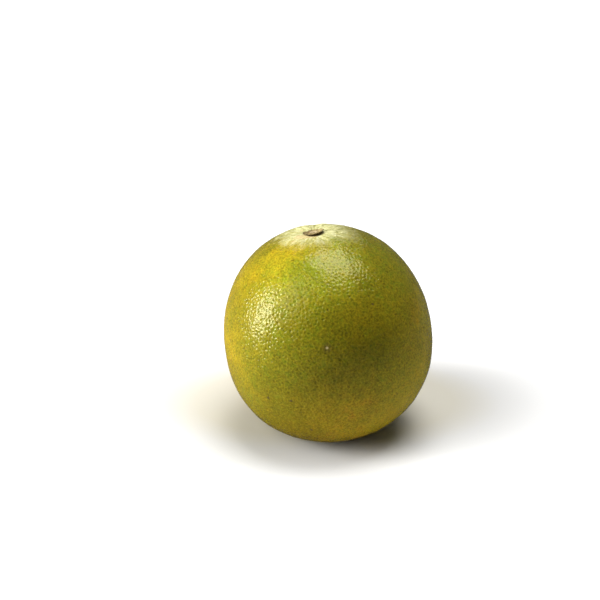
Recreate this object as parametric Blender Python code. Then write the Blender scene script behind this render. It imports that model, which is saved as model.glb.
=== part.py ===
"""A whole orange at rest: the fruit with its pitted peel, and the stem button that still sits on it.

Units are metres, +Z is up, and the origin is the middle of the flat spot that the fruit rests on.
The fruit's own frame has its centre at the origin and its stem at +Z. The fruit then leans to -X and
is lifted until its lowest side touches the ground.
"""

import math
import random

import bmesh
import bpy
from mathutils import Matrix, Vector, kdtree, noise

NAME = "orange"
SEED = 3

# The fruit, from its centre
EQUATOR_RADIUS = 0.0375
STEM_HALF = 0.03941
BLOSSOM_HALF = 0.03868
BOXINESS = 2.136                    # 2 gives an ellipse, more gives fuller shoulders
OVAL = 0.0125                       # share by which the girth is oval
OVAL_TURN = math.radians(131.2)
THREE_SIDED = 0.0085                # share by which the girth is three-sided
THREE_SIDED_TURN = math.radians(-1.5)
STEM_FULLNESS = 0.0190              # share by which the stem half is fuller than the blossom half
LUMP_HEIGHT = 0.00012
LUMPS_ACROSS = 2.6

# The way it lies
LEAN = math.radians(7.09)
REST_RADIUS = 0.03528               # from the centre down to the side that it rests on
REST_SPREAD = math.radians(24)
PRESSED_FLAT = 0.00012              # how much of that side is pressed flat

# The dimple round the stem, and the furrows that run out of it
DIMPLE_DEPTH = 0.0012
DIMPLE_RADIUS = 0.0065
FURROW_DEPTH = 0.00022
FURROWS = ((9, 1.2, 0.55), (14, 0.4, 0.30), (5, 2.6, 0.35))    # count, turn, share
FURROWS_START = (0.0035, 0.0080)
FURROWS_END = (0.0110, 0.0190)

# The oil-gland pits, larger than life
PITS = 1800
PIT_DEPTH = 0.00036
SHALLOWEST_PIT = 0.35               # share of that depth
PITS_CLEAR_OF_STEM = (0.0050, 0.0100)
PITS_CLEAR_OF_REST = (0.0100, 0.0150)
SPREADING_ROUNDS = 6

# The stem button
CALYX_RADIUS = 0.0038
CALYX_STEPS = 50
LOBES = 5
LOBE_TURN = math.radians(20)
LOBE_SWAY = math.radians(8)         # makes some lobes broader than others
NOTCH_RADIUS = 0.84                 # share of the radius that is left between two lobes
LOBE_REACH = (0.14, 0.22, 0.17, 0.25, 0.19)    # share that each lobe adds to that
NOTCH_VALLEY = 0.00016              # how far the disc is lower between two lobes
LOBE_LIFT = 0.0005                  # how far the lobes on the lifted side stand off the skin
LIFT_TURN = math.radians(-35)
SEAT_GAP = 0.0003
DISC_TOP = 0.00088
STUB_FOOT = 0.0019
# radius and height over the skin, from the stub's broken end, over the disc and its rim, to the underside
CALYX_PROFILE = (
    (0.0, 0.00128),
    (0.00060, 0.00130),
    (0.00105, 0.00142),
    (0.00140, 0.00136),
    (0.00160, 0.00108),
    (STUB_FOOT, 0.00090),
    (0.00250, DISC_TOP),
    (0.00310, 0.00090),
    (0.00360, 0.00084),
    (CALYX_RADIUS, 0.00064),
    (0.00362, 0.00042),
    (0.00300, 0.00034),
    (0.00200, SEAT_GAP),
    (0.00100, SEAT_GAP),
    (0.0, SEAT_GAP),
)


# The fruit's own frame in the world, and the directions that matter in it
LEANED = Matrix.Rotation(-LEAN, 4, "Y")
STAND = Matrix.Translation((0, 0, REST_RADIUS - PRESSED_FLAT)) @ LEANED
STEM = Vector((0, 0, 1))
DOWN = LEANED.inverted() @ Vector((0, 0, -1))


def ramp(value, limits):
    """0 before the first limit, 1 past the second, and smooth between them."""
    share = min(1.0, max(0.0, (value - limits[0]) / (limits[1] - limits[0])))
    return share * share * (3 - 2 * share)


def furrow(turn, around_stem):
    """Height of the soft radial furrows at a turn about the stem, at this distance from it."""
    wave = sum(share * math.cos(count * turn + phase) for count, phase, share in FURROWS)
    return FURROW_DEPTH * wave * ramp(around_stem, FURROWS_START) * (1 - ramp(around_stem, FURROWS_END))


def skin_radius(direction):
    """Distance from the fruit's centre to its skin, without the pits."""
    across = math.hypot(direction.x, direction.y)
    along = direction.z
    turn = math.atan2(direction.y, direction.x)
    half = STEM_HALF if along > 0 else BLOSSOM_HALF
    radius = ((across / EQUATOR_RADIUS) ** BOXINESS + (abs(along) / half) ** BOXINESS) ** (-1 / BOXINESS)
    oval = OVAL * across ** 2 * math.cos(2 * (turn - OVAL_TURN))
    three_sided = THREE_SIDED * across ** 3 * math.cos(3 * (turn - THREE_SIDED_TURN))
    fullness = STEM_FULLNESS * (2.5 * along ** 3 - 1.5 * along)
    radius *= 1 + oval + three_sided + fullness
    if along > 0:
        around_stem = radius * across
        radius -= DIMPLE_DEPTH * math.exp(-((around_stem / DIMPLE_RADIUS) ** 2))
        radius += furrow(turn, around_stem)
    radius += LUMP_HEIGHT * noise.noise(direction * LUMPS_ACROSS)
    rest = math.exp(-((direction.angle(DOWN) / REST_SPREAD) ** 2))
    return radius * (1 - rest) + REST_RADIUS * rest


def skin_height(x, y):
    """Height of the skin over the fruit's centre at a point beside the stem's axis."""
    height = STEM_HALF
    for _ in range(4):
        radius = skin_radius(Vector((x, y, height)).normalized())
        height = math.sqrt(radius ** 2 - x ** 2 - y ** 2)
    return height


def spread_directions(count):
    """Directions set evenly but irregularly over a sphere, as a spiral that is shaken and then spread."""
    draw = random.Random(SEED)
    golden_turn = math.pi * (3 - math.sqrt(5))
    spacing = math.sqrt(4 * math.pi / count)
    directions = []
    for i in range(count):
        z = 1 - 2 * (i + 0.5) / count
        across = math.sqrt(1 - z * z)
        shake = Vector([draw.gauss(0, 0.35 * spacing) for _ in range(3)])
        place = Vector((across * math.cos(golden_turn * i), across * math.sin(golden_turn * i), z))
        directions.append((place + shake).normalized())
    for _ in range(SPREADING_ROUNDS):
        directions = pushed_apart(directions, 1.15 * spacing)
    return directions


def pushed_apart(directions, reach):
    """Each direction moved a step away from its neighbours within reach."""
    tree = kdtree.KDTree(len(directions))
    for i, direction in enumerate(directions):
        tree.insert(direction, i)
    tree.balance()
    moved = []
    for i, direction in enumerate(directions):
        push = Vector()
        for other, j, distance in tree.find_n(direction, 7):
            if j != i and distance < reach:
                push += (direction - other) * (reach - distance) / distance
        moved.append((direction + 0.35 * push).normalized())
    return moved


def pit_depth(direction, draw):
    """Depth of the oil-gland pit in this direction. The stem's dimple and the pressed side have none."""
    from_stem = STEM_HALF * direction.angle(STEM)
    from_rest = REST_RADIUS * direction.angle(DOWN)
    clear = ramp(from_stem, PITS_CLEAR_OF_STEM) * ramp(from_rest, PITS_CLEAR_OF_REST)
    return PIT_DEPTH * draw.uniform(SHALLOWEST_PIT, 1) * clear


def pitted_ball(directions):
    """A ball of triangles with a vertex at each pit's middle and a ring of them round it.

    Returns the mesh and the vertices in the middles. The hull of the directions gets a vertex in the
    middle of each face, and its old edges are then turned to join those new vertices into the rings.
    """
    ball = bmesh.new()
    for direction in directions:
        ball.verts.new(direction * 100)
    bmesh.ops.convex_hull(ball, input=ball.verts)
    middles = set(ball.verts)
    old_edges = list(ball.edges)
    bmesh.ops.poke(ball, faces=ball.faces[:])
    bmesh.ops.rotate_edges(ball, edges=old_edges, use_ccw=False)
    return ball, middles


def flatten_rest(body):
    """Cuts the body off at the ground and closes it with a flat face."""
    everything = body.verts[:] + body.edges[:] + body.faces[:]
    cut = bmesh.ops.bisect_plane(
        body, geom=everything, dist=2e-5, plane_co=(0, 0, 0), plane_no=(0, 0, 1), clear_inner=True
    )
    rim = [piece for piece in cut["geom_cut"] if isinstance(piece, bmesh.types.BMEdge)]
    for edge in rim:
        for vertex in edge.verts:
            vertex.co.z = 0
    bmesh.ops.contextual_create(body, geom=rim)


def make_material(name, colour, roughness):
    material = bpy.data.materials.new(name)
    material.use_nodes = True
    shader = material.node_tree.nodes["Principled BSDF"]
    shader.inputs["Base Color"].default_value = (*colour, 1)
    shader.inputs["Roughness"].default_value = roughness
    shader.inputs["Metallic"].default_value = 0
    material.diffuse_color = (*colour, 1)
    return material


def add_object(name, mesh_data, material, collection):
    mesh = bpy.data.meshes.new(name)
    mesh_data.to_mesh(mesh)
    mesh_data.free()
    mesh.shade_smooth()
    mesh.materials.append(material)
    obj = bpy.data.objects.new(name, mesh)
    collection.objects.link(obj)
    return obj


def make_fruit(collection):
    """The whole fruit, with pits of differing depth, cut off flat where it rests."""
    draw = random.Random(SEED)
    body, middles = pitted_ball(spread_directions(PITS))
    for vertex in body.verts:
        direction = vertex.co.normalized()
        depth = pit_depth(direction, draw) if vertex in middles else 0
        vertex.co = direction * (skin_radius(direction) - depth)
    bmesh.ops.transform(body, matrix=STAND, verts=body.verts)
    flatten_rest(body)
    bmesh.ops.recalc_face_normals(body, faces=body.faces)
    peel = make_material("peel", (0.33, 0.29, 0.025), 0.32)
    return add_object("fruit", body, peel, collection)


def lobe_at(turn):
    """Share of a lobe's fullness at a turn, 0 in the notch between two, and how far that lobe reaches."""
    around = (turn - LOBE_TURN + LOBE_SWAY * math.sin(2 * turn)) * LOBES / (2 * math.pi)
    reach = LOBE_REACH[round(around) % LOBES]
    return abs(math.cos(math.pi * around)) ** 0.8, reach


def make_calyx(collection):
    """The button: its profile is spun about the stem, and then drawn out into lobes that follow the skin."""
    button = bmesh.new()
    points = [button.verts.new((radius, 0, height)) for radius, height in CALYX_PROFILE]
    edges = [button.edges.new(pair) for pair in zip(points, points[1:])]
    bmesh.ops.spin(
        button, geom=points + edges, cent=(0, 0, 0), axis=(0, 0, 1), angle=2 * math.pi,
        steps=CALYX_STEPS, use_merge=True,
    )
    bmesh.ops.remove_doubles(button, verts=button.verts, dist=1e-6)
    pole = skin_height(0, 0)
    for vertex in button.verts:
        radius = math.hypot(vertex.co.x, vertex.co.y)
        turn = math.atan2(vertex.co.y, vertex.co.x)
        outer = ramp(radius, (STUB_FOOT, CALYX_RADIUS))
        lobe, reach = lobe_at(turn)
        stretch = 1 + (NOTCH_RADIUS + reach * lobe - 1) * outer
        x = vertex.co.x * stretch
        y = vertex.co.y * stretch
        lift = LOBE_LIFT * outer * (0.5 + 0.5 * math.cos(turn - LIFT_TURN))
        valley = NOTCH_VALLEY * outer * (1 - lobe) * ramp(vertex.co.z, (SEAT_GAP, DISC_TOP))
        vertex.co = (x, y, skin_height(x, y) - pole + vertex.co.z + lift - valley)
    bmesh.ops.recalc_face_normals(button, faces=button.faces)
    wood = make_material("calyx", (0.22, 0.13, 0.06), 0.75)
    calyx = add_object("calyx", button, wood, collection)
    calyx.matrix_world = STAND @ Matrix.Translation((0, 0, pole))
    return calyx


def clear_scene():
    for obj in list(bpy.data.objects):
        bpy.data.objects.remove(obj, do_unlink=True)


def main():
    clear_scene()
    collection = bpy.data.collections.new(NAME)
    bpy.context.scene.collection.children.link(collection)
    fruit = make_fruit(collection)
    calyx = make_calyx(collection)
    calyx.parent = fruit


main()
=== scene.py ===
import math
import random

import bmesh
import bpy
from mathutils import Matrix, Vector, kdtree, noise


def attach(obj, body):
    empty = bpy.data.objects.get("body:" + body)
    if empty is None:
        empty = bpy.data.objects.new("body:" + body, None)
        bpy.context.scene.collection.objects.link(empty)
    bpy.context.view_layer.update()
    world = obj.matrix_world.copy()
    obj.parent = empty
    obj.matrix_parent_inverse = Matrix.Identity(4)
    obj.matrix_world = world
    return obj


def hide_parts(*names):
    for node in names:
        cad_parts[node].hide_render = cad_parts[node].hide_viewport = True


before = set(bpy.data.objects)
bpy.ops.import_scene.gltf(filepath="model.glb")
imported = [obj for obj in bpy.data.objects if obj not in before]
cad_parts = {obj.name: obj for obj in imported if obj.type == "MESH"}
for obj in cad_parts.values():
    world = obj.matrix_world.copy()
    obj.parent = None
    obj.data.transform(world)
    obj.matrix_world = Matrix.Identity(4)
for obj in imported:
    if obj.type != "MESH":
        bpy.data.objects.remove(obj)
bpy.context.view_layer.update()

# The fruit. A sweet orange grows as one closed body, in a waxy rind with oil glands all over that show as
# small soft-sided pits. The rind is part-ripe, olive green turning golden, and pale and streaked round the
# stem, where its colour also holds a painted sheen. The fruit lies on its lowest side, pressed flat there,
# with the stem up and leaning to the left.

EQUATOR_RADIUS = 0.0375
STEM_HALF = 0.03941
BLOSSOM_HALF = 0.03868
BOXINESS = 2.136
OVAL, OVAL_TURN = 0.0125, math.radians(131.2)
THREE_SIDED, THREE_SIDED_TURN = 0.0085, math.radians(-1.5)
STEM_FULLNESS = 0.0190
LUMP_HEIGHT, LUMPS_ACROSS = 0.00012, 2.6
LEAN = math.radians(7.09)
REST_RADIUS = 0.03528
REST_SPREAD = math.radians(24)
PRESSED_FLAT = 0.00012
DIMPLE_DEPTH, DIMPLE_RADIUS = 0.0012, 0.0065
FURROW_DEPTH = 0.00022
FURROWS = ((9, 1.2, 0.55), (14, 0.4, 0.30), (5, 2.6, 0.35))
FURROWS_START = (0.0035, 0.0080)
FURROWS_END = (0.0110, 0.0190)

LEANED = Matrix.Rotation(-LEAN, 4, "Y")
CENTRE = Vector((0, 0, REST_RADIUS - PRESSED_FLAT))
STAND = Matrix.Translation(CENTRE) @ LEANED
STEM = Vector((0, 0, 1))
DOWN = LEANED.inverted() @ Vector((0, 0, -1))


def ramp(value, limits):
    """0 before the first limit, 1 past the second, and smooth between them."""
    share = min(1.0, max(0.0, (value - limits[0]) / (limits[1] - limits[0])))
    return share * share * (3 - 2 * share)


def furrow(turn, around_stem):
    """Height of the soft furrows at a turn about the stem, at this distance from it."""
    wave = sum(share * math.cos(count * turn + phase) for count, phase, share in FURROWS)
    return FURROW_DEPTH * wave * ramp(around_stem, FURROWS_START) * (1 - ramp(around_stem, FURROWS_END))


def skin_radius(direction):
    """Distance from the fruit's centre to its skin, without the pits."""
    across = math.hypot(direction.x, direction.y)
    along = direction.z
    turn = math.atan2(direction.y, direction.x)
    half = STEM_HALF if along > 0 else BLOSSOM_HALF
    radius = ((across / EQUATOR_RADIUS) ** BOXINESS + (abs(along) / half) ** BOXINESS) ** (-1 / BOXINESS)
    oval = OVAL * across ** 2 * math.cos(2 * (turn - OVAL_TURN))
    three_sided = THREE_SIDED * across ** 3 * math.cos(3 * (turn - THREE_SIDED_TURN))
    fullness = STEM_FULLNESS * (2.5 * along ** 3 - 1.5 * along)
    radius *= 1 + oval + three_sided + fullness
    if along > 0:
        around_stem = radius * across
        radius -= DIMPLE_DEPTH * math.exp(-((around_stem / DIMPLE_RADIUS) ** 2))
        radius += furrow(turn, around_stem)
    radius += LUMP_HEIGHT * noise.noise(direction * LUMPS_ACROSS)
    rest = math.exp(-((direction.angle(DOWN) / REST_SPREAD) ** 2))
    return radius * (1 - rest) + REST_RADIUS * rest


# The glands are about 1.3 mm apart and are shaped in the mesh itself, with nine points to a gland. They are
# spread on a large ball first, to keep its hull exact. Shake and reach are shares of the gland spacing.
GLANDS = 10900
GLAND_SEED = 11
BALL_RADIUS = 100
SPREADING_ROUNDS, NEIGHBOURS = 6, 7
SHAKE, PUSH, REACH = 0.35, 0.35, 1.15
GLAND_DEPTH, DEPTH_RANGE = 0.00036, (0.35, 1.25)
GLAND_SIDE, SIDE_SHARE = 0.32, 0.72
GLANDS_CLEAR_OF_STEM = (0.0040, 0.0100)
SHOULDER, SHOULDER_SHARE = (0.018, 0.036), 0.55
GLANDS_CLEAR_OF_REST = (0.0060, 0.0090)


def pushed_apart(directions, reach):
    """Each direction moved a step away from its neighbours within reach."""
    tree = kdtree.KDTree(len(directions))
    for i, direction in enumerate(directions):
        tree.insert(direction, i)
    tree.balance()
    moved = []
    for i, direction in enumerate(directions):
        push = Vector()
        for other, j, distance in tree.find_n(direction, NEIGHBOURS):
            if j != i and distance < reach:
                push += (direction - other) * (reach - distance) / distance
        moved.append((direction + PUSH * push).normalized())
    return moved


def spread_directions(count):
    """Directions set evenly but irregularly over a sphere, as a spiral that is shaken and then spread."""
    draw = random.Random(GLAND_SEED)
    golden_turn = math.pi * (3 - math.sqrt(5))
    spacing = math.sqrt(4 * math.pi / count)
    directions = []
    for i in range(count):
        z = 1 - 2 * (i + 0.5) / count
        across = math.sqrt(1 - z * z)
        shake = Vector([draw.gauss(0, SHAKE * spacing) for _ in range(3)])
        place = Vector((across * math.cos(golden_turn * i), across * math.sin(golden_turn * i), z))
        directions.append((place + shake).normalized())
    for _ in range(SPREADING_ROUNDS):
        directions = pushed_apart(directions, REACH * spacing)
    return directions


def ringed(ball):
    """Puts a vertex in the middle of every face and turns the old edges to join those."""
    old_edges = list(ball.edges)
    bmesh.ops.poke(ball, faces=ball.faces[:])
    bmesh.ops.rotate_edges(ball, edges=old_edges, use_ccw=False)


peel = bmesh.new()
gland_share = peel.verts.layers.float.new("gland")
gland_tone = peel.verts.layers.float.new("tone")
for direction in spread_directions(GLANDS):
    peel.verts.new(direction * BALL_RADIUS)
bmesh.ops.convex_hull(peel, input=peel.verts)
gland_middles = list(peel.verts)
ringed(peel)
ringed(peel)

gland_depth_of = {}
for vertex in peel.verts:
    vertex[gland_tone] = 0.5
gland_draw = random.Random(GLAND_SEED + 1)
for middle in gland_middles:
    direction = middle.co.normalized()
    from_stem = STEM_HALF * direction.angle(STEM)
    from_rest = REST_RADIUS * direction.angle(DOWN)
    clear = ramp(from_stem, GLANDS_CLEAR_OF_STEM) * ramp(from_rest, GLANDS_CLEAR_OF_REST)
    clear *= SHOULDER_SHARE + (1 - SHOULDER_SHARE) * ramp(from_stem, SHOULDER)
    depth = GLAND_DEPTH * gland_draw.uniform(*DEPTH_RANGE)
    tone = gland_draw.random()
    gland_depth_of[middle] = depth * clear
    middle[gland_share] = 1
    middle[gland_tone] = tone
    for edge in middle.link_edges:
        side = edge.other_vert(middle)
        gland_depth_of[side] = GLAND_SIDE * depth * clear
        side[gland_share] = SIDE_SHARE
        side[gland_tone] = tone

# The last of the shape is a shallow scar at the blossom end and ripples of two sizes, each with its height.
SCAR_RADIUS, SCAR_DEPTH = 0.0021, 0.00035
RIPPLES = ((9.0, 0.00009), (19.0, 0.00004))
for vertex in peel.verts:
    direction = vertex.co.normalized()
    radius = skin_radius(direction) - gland_depth_of.get(vertex, 0)
    from_scar = BLOSSOM_HALF * direction.angle(-STEM)
    radius -= SCAR_DEPTH * math.exp(-((from_scar / SCAR_RADIUS) ** 4))
    for across, height in RIPPLES:
        radius += height * noise.noise(direction * across)
    vertex.co = STAND @ (direction * radius)
    vertex.co.z = max(vertex.co.z, 0)
bmesh.ops.recalc_face_normals(peel, faces=peel.faces)


class Number:
    """A value that changes over a surface, on which arithmetic adds Math nodes."""

    def __init__(self, nodes, socket):
        self.nodes = nodes
        self.socket = socket

    def math(self, operation, *values):
        return self.nodes.number("ShaderNodeMath", {"operation": operation}, dict(enumerate(values)))

    def __add__(self, other):
        return self.math("ADD", self, other)

    def __radd__(self, other):
        return self.math("ADD", other, self)

    def __sub__(self, other):
        return self.math("SUBTRACT", self, other)

    def __rsub__(self, other):
        return self.math("SUBTRACT", other, self)

    def __mul__(self, other):
        return self.math("MULTIPLY", self, other)

    def __rmul__(self, other):
        return self.math("MULTIPLY", other, self)

    def limited(self, low, high):
        """0 where the value is low, 1 where it is high, and smooth between them."""
        sockets = {"Value": self, "From Min": low, "From Max": high}
        return self.nodes.number("ShaderNodeMapRange", {"interpolation_type": "SMOOTHSTEP"}, sockets)


class Nodes:
    """The nodes of a material or of the surroundings, which are added and joined here."""

    def __init__(self, owner):
        owner.use_nodes = True
        self.tree = owner.node_tree

    def join(self, socket, value):
        """Gives a socket a number, a colour, a Number or another socket."""
        if isinstance(value, Number):
            value = value.socket
        if isinstance(value, bpy.types.NodeSocket):
            self.tree.links.new(value, socket)
        elif socket.type == "RGBA":
            socket.default_value = (*value, 1)
        else:
            socket.default_value = value

    def node(self, kind, settings, sockets):
        """A node with its settings made first, and then its sockets."""
        node = self.tree.nodes.new(kind)
        for name, value in settings.items():
            setattr(node, name, value)
        for name, value in sockets.items():
            self.join(node.inputs[name], value)
        return node

    def number(self, kind, settings, sockets, output=0):
        return Number(self, self.node(kind, settings, sockets).outputs[output])

    def coordinates(self, kind):
        return self.node("ShaderNodeTexCoord", {}, {}).outputs[kind]

    def vector(self, operation, *values):
        node = self.node("ShaderNodeVectorMath", {"operation": operation}, dict(enumerate(values)))
        return node.outputs["Vector"]

    def measure(self, operation, *values):
        """A Vector Math node that gives a number, such as a length."""
        sockets = dict(enumerate(values))
        return self.number("ShaderNodeVectorMath", {"operation": operation}, sockets, "Value")

    def laid_over(self, under, over, share, mode="MIX"):
        """One colour laid over another by a share."""
        settings = {"data_type": "RGBA", "blend_type": mode}
        return self.node("ShaderNodeMix", settings, {0: share, 6: under, 7: over}).outputs[2]

    def cloud(self, place, scale, detail, roughness):
        sockets = {"Vector": place, "Scale": scale, "Detail": detail, "Roughness": roughness}
        return self.number("ShaderNodeTexNoise", {}, sockets)

    def ramp(self, value, stops):
        """A colour read off a ramp, whose stops are (place, colour)."""
        node = self.node("ShaderNodeValToRGB", {}, {0: value})
        elements = node.color_ramp.elements
        while len(elements) < len(stops):
            elements.new(0.5)
        for element, (place, colour) in zip(elements, stops):
            element.position = place
            element.color = (*colour, 1)
        return node.outputs[0]

    def attribute(self, name):
        return self.number("ShaderNodeAttribute", {"attribute_name": name}, {}, "Fac")


class Finish(Nodes):
    """A material in the making, with its Principled shader at the end."""

    def __init__(self, name, **sockets):
        self.material = bpy.data.materials.new(name)
        super().__init__(self.material)
        self.shader = self.tree.nodes["Principled BSDF"]
        for socket, value in sockets.items():
            self.feed(socket.replace("_", " "), value)

    def feed(self, socket, value):
        self.join(self.shader.inputs[socket], value)

    def relief(self, height, distance, strength):
        """Fine relief that is too small for the mesh."""
        sockets = {"Height": height, "Distance": distance, "Strength": strength}
        self.feed("Normal", self.node("ShaderNodeBump", {}, sockets).outputs[0])


def swing(cloud, reach):
    """A cloud's rise and fall about its middle, by this much from bottom to top."""
    return (cloud - 0.5) * reach


rind = Finish("peel_rind", IOR=1.42, Specular_Tint=(1.0, 0.96, 0.55))
facing = rind.vector("NORMALIZE", rind.vector("SUBTRACT", rind.coordinates("Object"), CENTRE))

# Clouds of three sizes move the colour, the lightness and the gloss: each by its scale, detail and roughness.
BLOTCHES, MOTTLING, GRAIN = (6.0, 5.0, 0.62), (22.0, 3.0, 0.6), (60.0, 2.0, 0.75)
blotch = rind.cloud(facing, *BLOTCHES)
mottle = rind.cloud(facing, *MOTTLING)
grain = rind.cloud(facing, *GRAIN)


def heading(turn, height):
    """The unit vector at a turn and a height, both in degrees."""
    t, h = math.radians(turn), math.radians(height)
    return (math.cos(h) * math.cos(t), math.cos(h) * math.sin(t), math.sin(h))


def spot_at(turn, height, inner, outer, stray=0.0):
    """1 within the inner radius of a spot on the fruit, 0 outside the outer one, with an edge that strays."""
    nearness = rind.measure("DOT_PRODUCT", facing, heading(turn, height))
    if stray:
        nearness = nearness + swing(blotch, stray * math.sin(math.radians(outer)))
    return nearness.limited(math.cos(math.radians(outer)), math.cos(math.radians(inner)))


# How the rind ripened: the turn and height of a patch's middle as seen from the fruit's centre, its radius,
# all in degrees, and then how much riper and how much lighter it is than the rest.
RIPENESS, BLOTCH_RIPER, MOTTLE_RIPER = 0.42, 0.55, 0.80
LIGHTNESS, BLOTCH_LIGHTER, MOTTLE_LIGHTER = 0.61, 0.08, 0.17
PATCH_CORE, PATCH_RIM, PATCH_STRAY = 0.3, 1.55, 0.3
PATCHES = (
    (-162, 55, 20, 0.04, 0.13),
    (-150, 26, 27, 0.02, 0.27),
    (-158, -11, 22, 0.19, 0.21),
    (-174, 4, 18, 0.05, 0.18),
    (-117, 71, 7, 0.12, 0.02),
    (-110, 64, 22, -0.04, 0.31),
    (-42, 62, 26, -0.18, 0.09),
    (-112, 40, 21, -0.19, -0.01),
    (-75, 2, 26, -0.12, -0.19),
    (-89, -16, 12, 0.05, 0.13),
    (-43, 22, 23, 0.06, -0.05),
    (-19, 20, 11, 0.02, 0.15),
    (-17, -2, 14, 0.03, 0.09),
    (-126, -7, 25, -0.18, -0.02),
    (-87, -37, 33, 0.31, -0.07),
    (-51, -25, 29, 0.08, 0.22),
    (-81, 25, 16, 0.03, -0.03),
    (-146, 63, 8, 0.12, 0.07),
    (-154, 47, 6, 0.12, 0.02),
    (-151, 2, 9, 0.10, 0.00),
    (-113, 57, 8, -0.10, -0.02),
    (-76, -18, 6, 0.12, 0.03),
    (-28, 28, 6, 0.20, -0.03),
    (-72, 29, 6, 0.12, 0.04),
    (-68, 10, 9, -0.05, -0.04),
    (95, 0, 62, 0.05, 0.33),
    (70, 15, 40, 0.20, 0.06),
    (130, -25, 34, 0.26, 0.04),
    (20, -10, 24, -0.12, 0.08),
    (110, 50, 26, -0.16, 0.00),
    (165, 20, 24, 0.16, 0.10),
)
ripeness = RIPENESS + swing(blotch, BLOTCH_RIPER) + swing(mottle, MOTTLE_RIPER)
lightness = LIGHTNESS + swing(blotch, BLOTCH_LIGHTER) + swing(mottle, MOTTLE_LIGHTER)
for turn, height, radius, riper, lighter in PATCHES:
    inside = spot_at(turn, height, PATCH_CORE * radius, PATCH_RIM * radius, PATCH_STRAY)
    ripeness = ripeness + inside * riper
    lightness = lightness + inside * lighter

# Each gland is a darker, greener dot of a tone of its own, and the skin between the dots makes up for them.
GREEN = (0.250, 0.275, 0.012)
OLIVE = (0.300, 0.262, 0.011)
STRAW = (0.345, 0.268, 0.010)
GOLDEN = (0.400, 0.270, 0.010)
ORANGE = (0.430, 0.235, 0.012)
RIPENING = ((0.0, GREEN), (0.25, OLIVE), (0.5, STRAW), (0.8, GOLDEN), (1.0, ORANGE))
DOT_GREENER, TONE_RIPER, GRAIN_RIPER, RIPENESS_MADE_UP = 0.14, 0.16, 0.2, 0.04
DOT_DARKER, TONE_DARKER, GRAIN_LIGHTER, LIGHTNESS_MADE_UP = 0.10, 0.24, 1.9, 1.13
dots = rind.attribute("gland")
dot_tone = rind.attribute("tone")
ripeness = ripeness + swing(grain, GRAIN_RIPER) + swing(dot_tone, TONE_RIPER)
ripeness = ripeness - dots * DOT_GREENER + RIPENESS_MADE_UP
dotting = dots * (DOT_DARKER + TONE_DARKER * dot_tone)
lightness = lightness * (LIGHTNESS_MADE_UP + swing(grain, GRAIN_LIGHTER) - dotting)
hue = rind.ramp(ripeness, RIPENING)
shade = rind.node("ShaderNodeCombineColor", {}, {0: lightness, 1: lightness, 2: lightness}).outputs[0]
hue = rind.laid_over(hue, shade, 1.0, "MULTIPLY")

# The crown is the pale skin round the stem, with streaks that fan out from it and an edge that strays. Its
# paleness is partly the skin's own colour and partly a painted sheen from the light behind the fruit.
CROWN_GREY, CROWN_CREAM, CROWN_WHITE_SHEEN = (0.400, 0.380, 0.120), (0.705, 0.685, 0.320), (0.810, 0.790, 0.440)
CREAMS_AND_SHEEN = ((0.38, CROWN_GREY), (0.50, CROWN_CREAM), (0.64, CROWN_WHITE_SHEEN))
CROWN_MIDDLE = (-0.122, 0.090, 0.988)
CROWN_INNER, CROWN_OUTER = math.radians(3), math.radians(24)
STREAK_STRAY, MOTTLE_STRAY, BLOTCH_STRAY = 0.030, 0.045, 0.10
CROWN_PALER_AND_SHEEN, STREAK_PALER, GRAIN_PALER = 0.82, 2.2, 1.2
FAN_SPREAD, STREAKS = (2.2, 2.2, 2.2), (6.2, 4.0, 0.8)
LEANING_STEM = (-math.sin(LEAN), 0, math.cos(LEAN))
stemward = rind.vector("PROJECT", facing, LEANING_STEM)
around_stem = rind.vector("NORMALIZE", rind.vector("SUBTRACT", facing, stemward))
fanned_out = rind.vector("MULTIPLY_ADD", facing, FAN_SPREAD, around_stem)
streaks = rind.cloud(fanned_out, *STREAKS)
crown = rind.measure("DOT_PRODUCT", facing, CROWN_MIDDLE)
crown = crown + swing(streaks, STREAK_STRAY) + swing(mottle, MOTTLE_STRAY) + swing(blotch, BLOTCH_STRAY)
crown = crown.limited(math.cos(CROWN_OUTER), math.cos(CROWN_INNER))
# painted sheen: the crown is made paler than its skin, to stand for the gloss of the light behind it
pale_skin_and_painted_sheen = crown * (CROWN_PALER_AND_SHEEN + swing(streaks, STREAK_PALER) + swing(grain, GRAIN_PALER))
hue = rind.laid_over(hue, rind.ramp(streaks, CREAMS_AND_SHEEN), pale_skin_and_painted_sheen)

# The marks: a rosy patch beside the stem, a painted shadow round and under the foot of the button, a pale
# blemish in a faint halo, specks, and the scar at the blossom end. A speck is given by its turn, height and
# radius.
CROWN_ROSE = (0.68, 0.43, 0.20)
FOOT_PAINTED_SHADOW = (0.060, 0.040, 0.012)
HALO_BROWN, BLEMISH_PALE = (0.10, 0.070, 0.020), (0.34, 0.27, 0.12)
SPECK_BROWN, SPECK_CORE, SPECK_RIM, SPECK_STRENGTH = (0.07, 0.050, 0.020), 0.5, 1.3, 0.8
SCAR_BROWN = (0.11, 0.065, 0.030)
SPECKS = (
    (-123.8, -14.2, 0.8), (-109.9, -12.2, 0.7), (-62, 38, 0.6), (-141, 9, 0.6),
    (-100, -32, 0.7), (35, 30, 0.8), (150, 10, 0.9), (95, -8, 0.7),
)
MARKS = [
    # colour, turn and height, inner and outer radius, how far the edge strays, and strength
    (CROWN_ROSE, -176, 78.5, 0.8, 4.4, 0.8, 0.45),
    # painted shadow: a dark spot on the skin round and under the foot of the button
    (FOOT_PAINTED_SHADOW, -170.9, 83.8, 3.4, 5.0, 0.0, 0.9),
    (HALO_BROWN, -91.3, 18.7, 0.6, 3.2, 0.0, 0.38),
    (BLEMISH_PALE, -91.3, 18.7, 0.3, 0.9, 0.0, 1.0),
]
for turn, height, radius in SPECKS:
    MARKS.append((SPECK_BROWN, turn, height, SPECK_CORE * radius, SPECK_RIM * radius, 0.0, SPECK_STRENGTH))
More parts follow.
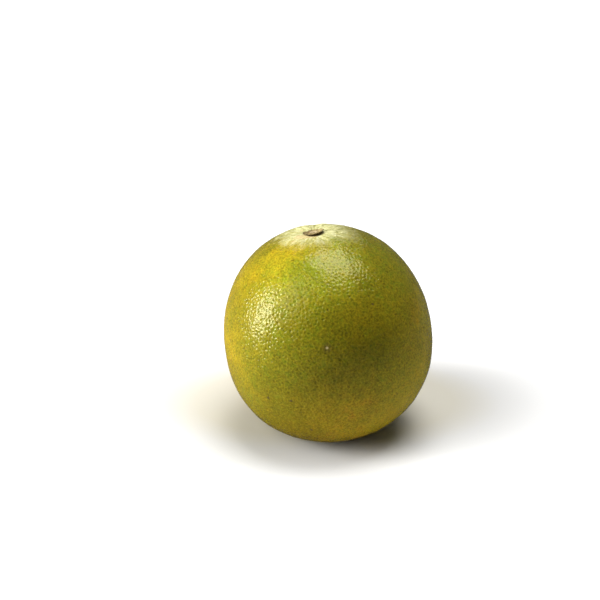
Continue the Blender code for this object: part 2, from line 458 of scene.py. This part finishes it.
MARKS.append((SCAR_BROWN, 0, math.degrees(LEAN) - 90, 2.0, 3.4, 0.6, 0.9))
for colour, turn, height, inner, outer, stray, strength in MARKS:
    hue = rind.laid_over(hue, colour, spot_at(turn, height, inner, outer, stray) * strength)

# The wax gives the rind a soft gloss, duller on the crown, and the clouds give it fine relief.
WAX_ROUGHNESS, MOTTLE_ROUGHER, GRAIN_ROUGHER, CROWN_ROUGHER = 0.18, 0.10, 0.12, 0.40
MOTTLE_RELIEF, STREAK_RELIEF = 3.0, 3.0
RELIEF_DEPTH, RELIEF_STRENGTH = 0.00008, 0.5
gloss_change = swing(mottle, MOTTLE_ROUGHER) + swing(grain, GRAIN_ROUGHER) + crown * CROWN_ROUGHER
rind.feed("Base Color", hue)
rind.feed("Roughness", WAX_ROUGHNESS + gloss_change)
rind.relief(grain + mottle * MOTTLE_RELIEF + streaks * crown * STREAK_RELIEF, RELIEF_DEPTH, RELIEF_STRENGTH)


def add_piece(name, shape, material, node):
    """Makes the finished mesh an object that rides on the fruit and stands for a CAD node."""
    mesh = bpy.data.meshes.new(name)
    shape.to_mesh(mesh)
    shape.free()
    mesh.shade_smooth()
    mesh.materials.append(material)
    piece = bpy.data.objects.new(name, mesh)
    bpy.context.scene.collection.objects.link(piece)
    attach(piece, "root")
    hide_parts(node)


add_piece("peel_skin", peel, rind.material, "fruit")


# The stem button. The calyx stays on the picked fruit as a thin, dry, tan disc with five blunt lobes and
# a curled rim, round the low stump where the stalk came away. It lies in the dimple, grown to the skin in
# the middle, and its lobes lift off on the right.

CALYX_RADIUS = 0.0038
CALYX_STEPS, CALYX_CUTS = 200, 2
MERGED_WITHIN = 1e-6
CALYX_OVAL = 0.88
SEAT = -0.0002
DISC_TOP = 0.00032
UPPER_FACE = (0.0002, 0.00035)
STUMP_FOOT = 0.0018
CALYX_PROFILE = (
    (0.0, 0.00034), (0.00050, 0.00032), (0.00085, 0.00044), (0.00112, 0.00062), (0.00138, 0.00060),
    (STUMP_FOOT, 0.00040), (0.00230, DISC_TOP), (0.00290, 0.00036), (0.00336, 0.00046), (0.00366, 0.00044),
    (CALYX_RADIUS, 0.00032), (0.00366, 0.00022), (0.00330, 0.00014), (0.00270, 0.00004), (0.00200, SEAT),
    (0.00100, SEAT), (0.0, SEAT),
)
LOBES = 5
LOBE_TURN, LOBE_SWAY, LOBE_BLUNTNESS = math.radians(20), math.radians(8), 0.8
LOBE_REACH = (0.20, 0.03, 0.24, 0.07, 0.10)
LOBE_LIFT, LIFT_TURN = 0.00060, math.radians(-30)
NOTCH_RADIUS, NOTCH_VALLEY = 0.80, 0.00008
FRAY, FRAYS_AROUND = 0.045, 7
WRINKLE_DEPTH, WRINKLES_ACROSS = 0.00022, 2300
RIDGES_AROUND, RIDGES_ACROSS = 6, 450
SMOOTH_STUMP, STUMP_SHARE = (0.0008, 0.0022), 0.4
HEIGHT_ROUNDS = 4


def skin_height(x, y):
    """Height of the skin over the fruit's centre at a point beside the stem's axis."""
    height = STEM_HALF
    for _ in range(HEIGHT_ROUNDS):
        radius = skin_radius(Vector((x, y, height)).normalized())
        height = math.sqrt(radius ** 2 - x ** 2 - y ** 2)
    return height


def lobe_at(turn):
    """Share of a lobe's fullness at a turn, 0 in the notch between two, and how far that lobe reaches."""
    around = (turn - LOBE_TURN + LOBE_SWAY * math.sin(2 * turn)) * LOBES / (2 * math.pi)
    reach = LOBE_REACH[round(around) % LOBES]
    return abs(math.cos(math.pi * around)) ** LOBE_BLUNTNESS, reach


calyx = bmesh.new()
out_share = calyx.verts.layers.float.new("out")
ridge_share = calyx.verts.layers.float.new("ridge")
points = [calyx.verts.new((radius, 0, height)) for radius, height in CALYX_PROFILE]
edges = [calyx.edges.new(pair) for pair in zip(points, points[1:])]
bmesh.ops.subdivide_edges(calyx, edges=edges, cuts=CALYX_CUTS)
bmesh.ops.spin(
    calyx, geom=calyx.verts[:] + calyx.edges[:], cent=(0, 0, 0), axis=(0, 0, 1), angle=2 * math.pi,
    steps=CALYX_STEPS, use_merge=True,
)
bmesh.ops.remove_doubles(calyx, verts=calyx.verts, dist=MERGED_WITHIN)
for vertex in calyx.verts:
    radius = math.hypot(vertex.co.x, vertex.co.y)
    turn = math.atan2(vertex.co.y, vertex.co.x)
    outer = ramp(radius, (STUMP_FOOT, CALYX_RADIUS))
    upper = ramp(vertex.co.z, UPPER_FACE)
    lobe, reach = lobe_at(turn)
    fray = FRAY * noise.noise(Vector((FRAYS_AROUND * math.cos(turn), FRAYS_AROUND * math.sin(turn), 0)))
    stretch = 1 + (NOTCH_RADIUS + reach * lobe + fray - 1) * outer
    x = vertex.co.x * stretch
    y = vertex.co.y * stretch * CALYX_OVAL
    lift = LOBE_LIFT * outer * (0.5 + 0.5 * math.cos(turn - LIFT_TURN)) ** 2
    valley = NOTCH_VALLEY * outer * (1 - lobe) * upper
    ridge_place = (RIDGES_AROUND * math.cos(turn), RIDGES_AROUND * math.sin(turn), RIDGES_ACROSS * radius)
    wrinkle_place = Vector((x, y, 0)) * WRINKLES_ACROSS
    wrinkle = 0.5 * noise.noise(Vector(ridge_place)) + 0.5 * noise.noise(wrinkle_place)
    wrinkled = upper * (STUMP_SHARE + (1 - STUMP_SHARE) * ramp(radius, SMOOTH_STUMP))
    vertex[out_share] = radius / CALYX_RADIUS
    vertex[ridge_share] = 0.5 + 0.5 * wrinkle
    rise = lift - valley + WRINKLE_DEPTH * wrinkle * wrinkled
    vertex.co = (x, y, skin_height(x, y) + vertex.co.z + rise)
bmesh.ops.transform(calyx, matrix=STAND, verts=calyx.verts)
bmesh.ops.recalc_face_normals(calyx, faces=calyx.faces)

# The bark is brown at the rim, with rosy patches. Its colour is also browner in the low wrinkles and paler on
# the raised ones, a painted shade in the creases, and paler towards the right, which is painted light. The
# stump shows a ring of wood and a dark pith. The edges of these are shares of the way out to the rim.
DRY_BROWN = (0.100, 0.064, 0.020)
TAN = (0.320, 0.235, 0.080)
PALE_TAN = (0.450, 0.360, 0.150)
DRYING_AND_PAINTED_LIGHT = ((0.18, DRY_BROWN), (0.48, TAN), (0.78, PALE_TAN))
ROSY_TAN, ROSY_LIMITS, ROSY_STRENGTH = (0.42, 0.24, 0.14), (0.40, 0.30), 0.4
RIM_EDGE, RIM_STRENGTH = (0.84, 0.98), 0.8
WOOD, WOOD_STRENGTH = (0.62, 0.50, 0.28), 0.7
WOOD_INNER_EDGE, WOOD_OUTER_EDGE = (0.10, 0.20), (0.30, 0.38)
PITH, PITH_EDGE, PITH_STRENGTH = (0.10, 0.060, 0.030), (0.04, 0.13), 0.8
FIBRES, FLECKS, PATCHINESS = (1700.0, 3.0, 0.7), (5200.0, 2.0, 0.6), (420.0, 2.0, 0.5)
FIBRE_PALER, FLECK_PALER, PATCH_PALER = 1.2, 0.7, 1.4
RIGHTWARD_PAINTED_LIGHT, MIDDLE_PALER = (70, 0, 0), 0.34
BARK_ROUGHNESS, FIBRE_ROUGHER = 0.72, 0.4
FLECK_RELIEF, BARK_RELIEF_DEPTH, BARK_RELIEF_STRENGTH = 0.6, 0.00008, 0.7
bark = Finish("calyx_bark", Specular_IOR_Level=0.35)
bark_place = bark.coordinates("Object")
out = bark.attribute("out")
fibres = bark.cloud(bark_place, *FIBRES)
flecks = bark.cloud(bark_place, *FLECKS)
patchy = bark.cloud(bark_place, *PATCHINESS)
# painted shade and light: browner in the low wrinkles, paler on the raised ones and towards the right
dryness_and_painted_light = bark.attribute("ridge") + (bark.measure("DOT_PRODUCT", bark_place, RIGHTWARD_PAINTED_LIGHT) + MIDDLE_PALER)
dryness_and_painted_light = dryness_and_painted_light + swing(patchy, PATCH_PALER) + swing(fibres, FIBRE_PALER) + swing(flecks, FLECK_PALER)
wood_ring = out.limited(*WOOD_INNER_EDGE) * (1 - out.limited(*WOOD_OUTER_EDGE))
pith = 1 - out.limited(*PITH_EDGE)
bark_hue = bark.ramp(dryness_and_painted_light, DRYING_AND_PAINTED_LIGHT)
bark_hue = bark.laid_over(bark_hue, ROSY_TAN, patchy.limited(*ROSY_LIMITS) * ROSY_STRENGTH)
bark_hue = bark.laid_over(bark_hue, DRY_BROWN, out.limited(*RIM_EDGE) * RIM_STRENGTH)
bark_hue = bark.laid_over(bark_hue, WOOD, wood_ring * WOOD_STRENGTH)
bark_hue = bark.laid_over(bark_hue, PITH, pith * PITH_STRENGTH)
bark.feed("Base Color", bark_hue)
bark.feed("Roughness", BARK_ROUGHNESS + swing(fibres, FIBRE_ROUGHER))
bark.relief(fibres + flecks * FLECK_RELIEF, BARK_RELIEF_DEPTH, BARK_RELIEF_STRENGTH)
add_piece("calyx_button", calyx, bark.material, "calyx")


# The floor. A plain white matt sweep that glows by its own emission, so that it reads white. The glow fades
# out in an oval spot round the fruit, and there the sweep is painted darker and warmer: a painted shadow,
# with painted warm light as if bounced from the rind.

FLOOR_RADIUS, DISC_SEGMENTS = 1.6, 96
GLOW = 0.25
SHADED_SPOT, SHADED_DEPTH = (0, 0.015, 0), 1.8
SHADED_FROM, SHADED_TO = 0.052, 0.112
WARM_PAINTED_SHADOW, DULL_PAINTED_SHADOW, CLEAR_WHITE = (0.72, 0.69, 0.60), (0.77, 0.765, 0.75), (0.86, 0.86, 0.857)
# the whites, darkest and warmest in the painted shadow, by their distance from the middle of the spot in
# decimetres
DECIMETRES = 10
WHITES_AND_PAINTED_SHADOW = ((0.50, WARM_PAINTED_SHADOW), (0.68, DULL_PAINTED_SHADOW), (0.98, CLEAR_WHITE))


def stage_disc(name, radius, height, finish):
    """A flat disc of the studio, which isn't part of the fruit."""
    shape = bmesh.new()
    bmesh.ops.create_circle(shape, cap_ends=True, segments=DISC_SEGMENTS, radius=radius)
    bmesh.ops.translate(shape, verts=shape.verts, vec=(0, 0, height))
    mesh = bpy.data.meshes.new(name)
    shape.to_mesh(mesh)
    shape.free()
    mesh.materials.append(finish.material)
    disc = bpy.data.objects.new(name, mesh)
    bpy.context.scene.collection.objects.link(disc)
    return disc


sweep = Finish("white_sweep", Roughness=0.9, Specular_IOR_Level=0.2, Emission_Strength=GLOW)
spot_place = sweep.vector("SUBTRACT", sweep.coordinates("Object"), SHADED_SPOT)
from_spot = sweep.measure("LENGTH", sweep.vector("MULTIPLY", spot_place, (1, SHADED_DEPTH, 1)))
# painted shadow: near the fruit the glow fades out and the sweep's colour turns darker and warmer
glow_outside_painted_shadow = from_spot.limited(SHADED_FROM, SHADED_TO)
sweep.feed("Base Color", sweep.ramp(from_spot * DECIMETRES, WHITES_AND_PAINTED_SHADOW))
sweep.feed("Emission Color", sweep.laid_over((0, 0, 0), (1, 1, 1), glow_outside_painted_shadow))
stage_disc("floor", FLOOR_RADIUS, 0, sweep)


# The grey card. It is laid just over the floor and only reflections see it, so that the gloss at the edges
# of the fruit takes in a dull floor and not the glowing one.

CARD_RADIUS, CARD_HEIGHT = 1.58, 0.0005
CARD_GREY = (0.14, 0.14, 0.14)
card_finish = Finish("grey_card", Base_Color=CARD_GREY, Roughness=1.0, Specular_IOR_Level=0.0)
card = stage_disc("grey_card", CARD_RADIUS, CARD_HEIGHT, card_finish)
card.visible_camera = False
card.visible_diffuse = False
card.visible_shadow = False
card.visible_transmission = False


# The softboxes. A tall one stands on the left with a brighter middle, a broad one hangs overhead, and two
# weak ones fill in from behind and from the upper left.

SOFTBOXES = (
    # direction from the fruit, distance, width, height and power
    ((-0.93, -0.14, 0.29), 2.5, 0.80, 1.5, 54),
    ((-0.93, -0.16, 0.26), 2.4, 0.32, 0.95, 13),
    ((0.13, 0.10, 0.985), 2.5, 1.80, 1.50, 57),
    ((0.0, 0.82, 0.57), 2.5, 1.8, 1.0, 6),
    ((-0.60, -0.42, 0.68), 2.5, 1.1, 1.7, 18),
)
for i, (direction, distance, width, height, power) in enumerate(SOFTBOXES):
    lamp = bpy.data.lights.new(f"softbox_{i}", "AREA")
    lamp.shape = "RECTANGLE"
    lamp.size = width
    lamp.size_y = height
    lamp.energy = power
    lamp_object = bpy.data.objects.new(f"softbox_{i}", lamp)
    aim = Vector(direction).normalized()
    lamp_object.location = CENTRE + distance * aim
    lamp_object.rotation_euler = aim.to_track_quat("Z", "Y").to_euler()
    bpy.context.scene.collection.objects.link(lamp_object)


# The surroundings. The camera sees a plain white backdrop. As a light the room is dim, a little brighter
# behind the fruit than in front of it, each given here by how far back it looks and how bright it is.

ROOM_IN_FRONT, ROOM_BEHIND, BACKDROP = (-0.6, 0.05), (0.5, 0.10), 1.0
surroundings = bpy.data.worlds.new("surroundings")
room = Nodes(surroundings)
room_depth = room.node("ShaderNodeSeparateXYZ", {}, {0: room.coordinates("Generated")}).outputs["Y"]
room_range = {
    "Value": room_depth, "From Min": ROOM_IN_FRONT[0], "From Max": ROOM_BEHIND[0],
    "To Min": ROOM_IN_FRONT[1], "To Max": ROOM_BEHIND[1],
}
room_light = room.number("ShaderNodeMapRange", {"interpolation_type": "SMOOTHSTEP"}, room_range)
seen = room.node("ShaderNodeLightPath", {}, {}).outputs["Is Camera Ray"]
brightness = room.number("ShaderNodeMix", {}, {0: seen, 2: room_light, 3: BACKDROP})
background = room.tree.nodes["Background"]
room.join(background.inputs["Color"], (1, 1, 1))
room.join(background.inputs["Strength"], brightness)
bpy.context.scene.world = surroundings
bpy.context.scene.view_settings.view_transform = "Standard"


# The camera. It looks down on the fruit at a low angle from a third of a metre away, and its frame is 600
# pixels square, with the middle of the fruit a little to the right of and below the middle of the frame.

VIEW_ELEVATION = math.radians(23.29)
VIEW_DEPTH = 0.36186
PIXELS_TO_EDGE = 300
LENS_PIXELS = 1000
FRUIT_CENTRE_PIXEL = (326.47, 334.67)
SENSOR = 36.0
camera_data = bpy.data.cameras.new("camera")
camera_data.sensor_width = SENSOR
camera_data.lens = SENSOR * LENS_PIXELS / (2 * PIXELS_TO_EDGE)
camera = bpy.data.objects.new("camera", camera_data)
camera.rotation_euler = (math.pi / 2 - VIEW_ELEVATION, 0, 0)
offset = Vector((
    (PIXELS_TO_EDGE - FRUIT_CENTRE_PIXEL[0]) * VIEW_DEPTH / LENS_PIXELS,
    (FRUIT_CENTRE_PIXEL[1] - PIXELS_TO_EDGE) * VIEW_DEPTH / LENS_PIXELS,
    VIEW_DEPTH,
))
camera.location = CENTRE + camera.rotation_euler.to_matrix() @ offset
bpy.context.scene.collection.objects.link(camera)
bpy.context.scene.camera = camera
